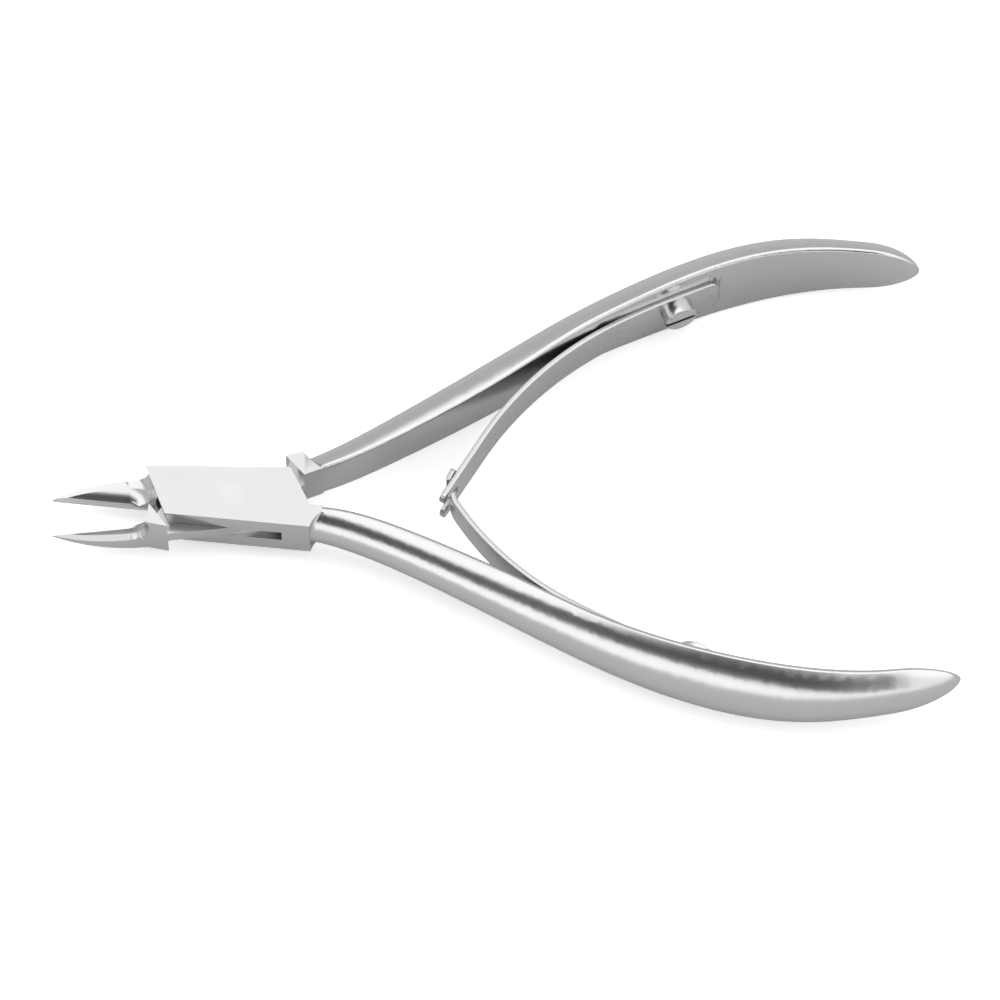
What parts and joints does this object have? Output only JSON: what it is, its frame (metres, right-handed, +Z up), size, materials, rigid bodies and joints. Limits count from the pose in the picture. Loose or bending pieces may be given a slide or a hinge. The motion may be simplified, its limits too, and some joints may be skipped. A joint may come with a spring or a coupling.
{
  "type": "nail nipper",
  "caption": "Box-joint nail nipper: slim hollow-ground jaws, handles with flat inner and rounded outer sides, held open by a forked and a hooked leaf spring",
  "frame": {"origin": "centre of the bounding box at its base, with the nipper open at rest and lying on its flat side", "axes": "+X from the jaws to the handle ends, +Y from the handle of the box arm to the handle of the tongue arm, +Z up along the joint pin"},
  "size_m": [0.1166, 0.0693, 0.0122],
  "materials": {
    "satin_steel": "satin stainless steel",
    "pin_steel": "stainless pin, ground flush and satin finished",
    "spring_steel": "rolled spring steel, satin",
    "screw_steel": "turned and polished stainless steel"
  },
  "bodies": {
    "box_side": {"box_arm": "satin_steel", "joint_pin": "pin_steel", "lower_spring_screw": "screw_steel"},
    "tongue_side": {"tongue_arm": "satin_steel", "upper_spring_screw": "screw_steel"},
    "forked_leaf": {"forked_spring_leaf": "spring_steel"},
    "hooked_leaf": {"hooked_spring_leaf": "spring_steel"}
  },
  "joints": [
    {"name": "jaw_pivot", "type": "hinge", "parent": "box_side", "child": "tongue_side", "pos_m": [-0.03487, -0.00425, 0.00612], "axis": [0, 0, 1], "range_deg": [-12, 0], "stiffness_Nm_per_rad": 1.7, "springref_deg": 5.04},
    {"name": "forked_leaf_flex", "type": "hinge", "parent": "tongue_side", "child": "forked_leaf", "pos_m": [0.00918, 0.01763, 0.00612], "axis": [0, 0, 1], "range_deg": [-8.8, 0], "deforming": ["forked_spring_leaf"]},
    {"name": "hooked_leaf_flex", "type": "hinge", "parent": "box_side", "child": "hooked_leaf", "pos_m": [0.00886, -0.01961, 0.00612], "axis": [0, 0, 1], "range_deg": [0, 9.2], "deforming": ["hooked_spring_leaf"]}
  ],
  "couplings": [
    {"joint": "forked_leaf_flex", "follows": "jaw_pivot", "ratio": 0.7264},
    {"joint": "hooked_leaf_flex", "follows": "jaw_pivot", "ratio": -0.7593}
  ]
}
